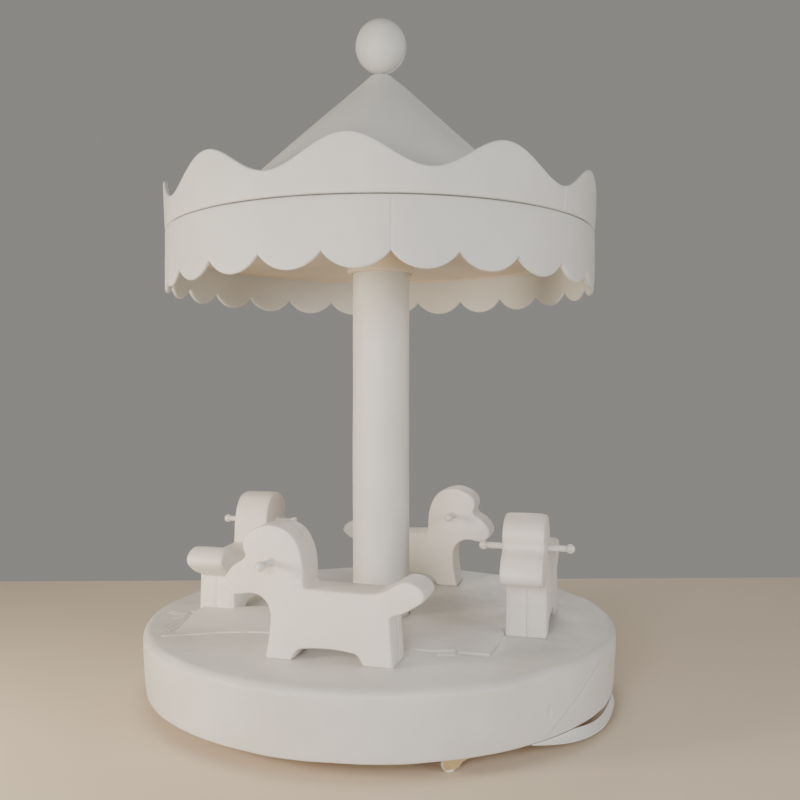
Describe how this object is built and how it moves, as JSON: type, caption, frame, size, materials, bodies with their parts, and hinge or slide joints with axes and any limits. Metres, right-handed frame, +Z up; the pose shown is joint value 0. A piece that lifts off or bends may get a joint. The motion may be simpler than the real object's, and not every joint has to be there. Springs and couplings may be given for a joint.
{
  "type": "soft play carousel",
  "caption": "Padded children's carousel: a round turning deck with ride-on ponies around a column, under a scalloped canopy with a cone roof and ball.",
  "frame": {"origin": "on the floor, on the vertical axis that the carousel turns about", "axes": "+Z up along that axis, -Y towards the viewer of the front, +X to that viewer's right"},
  "size_m": [1.5, 1.5, 2.162],
  "materials": {
    "white_vinyl": "matte, fine leather-like grain",
    "foam": "open-cell foam",
    "plywood": "plain plywood",
    "painted_steel": "dark grey paint",
    "bearing_steel": "bright turned steel",
    "yellow_zinc": "yellow zinc plating",
    "cream_nylon": "cream nylon",
    "white_plastic": "satin white plastic",
    "black_rubber": "matte black rubber"
  },
  "bodies": {
    "stand": {"grip_pad": "black_rubber", "floor_plate": "painted_steel", "spindle_post": "bearing_steel", "bearing_lower_ring": "bearing_steel"},
    "ball_cage": {"ball_cage": "bearing_steel"},
    "carousel": {"bearing_upper_ring": "bearing_steel", "deck_board": "plywood", "rim_hoop": "plywood", "deck_foam": "foam", "deck_cover": "white_vinyl", "hem_flap": "white_vinyl", "castor_plate_1": "yellow_zinc", "castor_plate_2": "yellow_zinc", "castor_plate_3": "yellow_zinc", "castor_plate_4": "yellow_zinc", "mast_tube": "painted_steel", "mast_flange": "painted_steel", "mast_bolts": "yellow_zinc", "mast_bushing": "cream_nylon", "column_foam": "foam", "column_cover": "white_vinyl", "ceiling_collar": "white_vinyl", "ceiling_panel": "plywood", "canopy_hub": "painted_steel", "hub_bolts": "yellow_zinc", "valance_band": "white_vinyl", "crown_band": "white_vinyl", "roof_cover": "white_vinyl", "roof_frame": "plywood", "mast_cap": "white_plastic", "finial_rod": "bearing_steel", "finial_ball": "white_vinyl", "pony_1_cover": "white_vinyl", "pony_1_core": "foam", "pony_1_spine": "plywood", "pony_1_handle": "white_plastic", "pony_1_knob": "white_plastic", "pony_2_cover": "white_vinyl", "pony_2_core": "foam", "pony_2_spine": "plywood", "pony_2_handle": "white_plastic", "pony_2_knob": "white_plastic", "pony_3_cover": "white_vinyl", "pony_3_core": "foam", "pony_3_spine": "plywood", "pony_3_handle": "white_plastic", "pony_3_knob": "white_plastic", "pony_4_cover": "white_vinyl", "pony_4_core": "foam", "pony_4_spine": "plywood", "pony_4_handle": "white_plastic", "pony_4_knob": "white_plastic"},
    "castor_fork_1": {"castor_fork_1": "yellow_zinc"},
    "castor_wheel_1": {"castor_wheel_1": "cream_nylon"},
    "castor_fork_2": {"castor_fork_2": "yellow_zinc"},
    "castor_wheel_2": {"castor_wheel_2": "cream_nylon"},
    "castor_fork_3": {"castor_fork_3": "yellow_zinc"},
    "castor_wheel_3": {"castor_wheel_3": "cream_nylon"},
    "castor_fork_4": {"castor_fork_4": "yellow_zinc"},
    "castor_wheel_4": {"castor_wheel_4": "cream_nylon"}
  },
  "joints": [
    {"name": "platform_spin", "type": "hinge", "parent": "stand", "child": "carousel", "pos_m": [0, 0, 0], "axis": [0, 0, 1], "continuous": true},
    {"name": "cage_spin", "type": "hinge", "parent": "stand", "child": "ball_cage", "pos_m": [0, 0, 0.0363], "axis": [0, 0, 1], "continuous": true},
    {"name": "castor_1_swivel", "type": "hinge", "parent": "carousel", "child": "castor_fork_1", "pos_m": [0.19881, -0.67117, 0.0468], "axis": [0, 0, 1], "continuous": true},
    {"name": "castor_1_roll", "type": "hinge", "parent": "castor_fork_1", "child": "castor_wheel_1", "pos_m": [0.17005, -0.67969, 0.02], "axis": [0.284, -0.9588, 0], "continuous": true},
    {"name": "castor_2_swivel", "type": "hinge", "parent": "carousel", "child": "castor_fork_2", "pos_m": [0.67117, 0.19881, 0.0468], "axis": [0, 0, 1], "continuous": true},
    {"name": "castor_2_roll", "type": "hinge", "parent": "castor_fork_2", "child": "castor_wheel_2", "pos_m": [0.67969, 0.17005, 0.02], "axis": [0.9588, 0.284, 0], "continuous": true},
    {"name": "castor_3_swivel", "type": "hinge", "parent": "carousel", "child": "castor_fork_3", "pos_m": [-0.19881, 0.67117, 0.0468], "axis": [0, 0, 1], "continuous": true},
    {"name": "castor_3_roll", "type": "hinge", "parent": "castor_fork_3", "child": "castor_wheel_3", "pos_m": [-0.17005, 0.67969, 0.02], "axis": [-0.284, 0.9588, 0], "continuous": true},
    {"name": "castor_4_swivel", "type": "hinge", "parent": "carousel", "child": "castor_fork_4", "pos_m": [-0.67117, -0.19881, 0.0468], "axis": [0, 0, 1], "continuous": true},
    {"name": "castor_4_roll", "type": "hinge", "parent": "castor_fork_4", "child": "castor_wheel_4", "pos_m": [-0.67969, -0.17005, 0.02], "axis": [-0.9588, -0.284, 0], "continuous": true}
  ],
  "couplings": [
    {"joint": "cage_spin", "follows": "platform_spin", "ratio": 0.5},
    {"joint": "castor_1_roll", "follows": "platform_spin", "ratio": -35},
    {"joint": "castor_2_roll", "follows": "platform_spin", "ratio": -35},
    {"joint": "castor_3_roll", "follows": "platform_spin", "ratio": -35},
    {"joint": "castor_4_roll", "follows": "platform_spin", "ratio": -35}
  ]
}
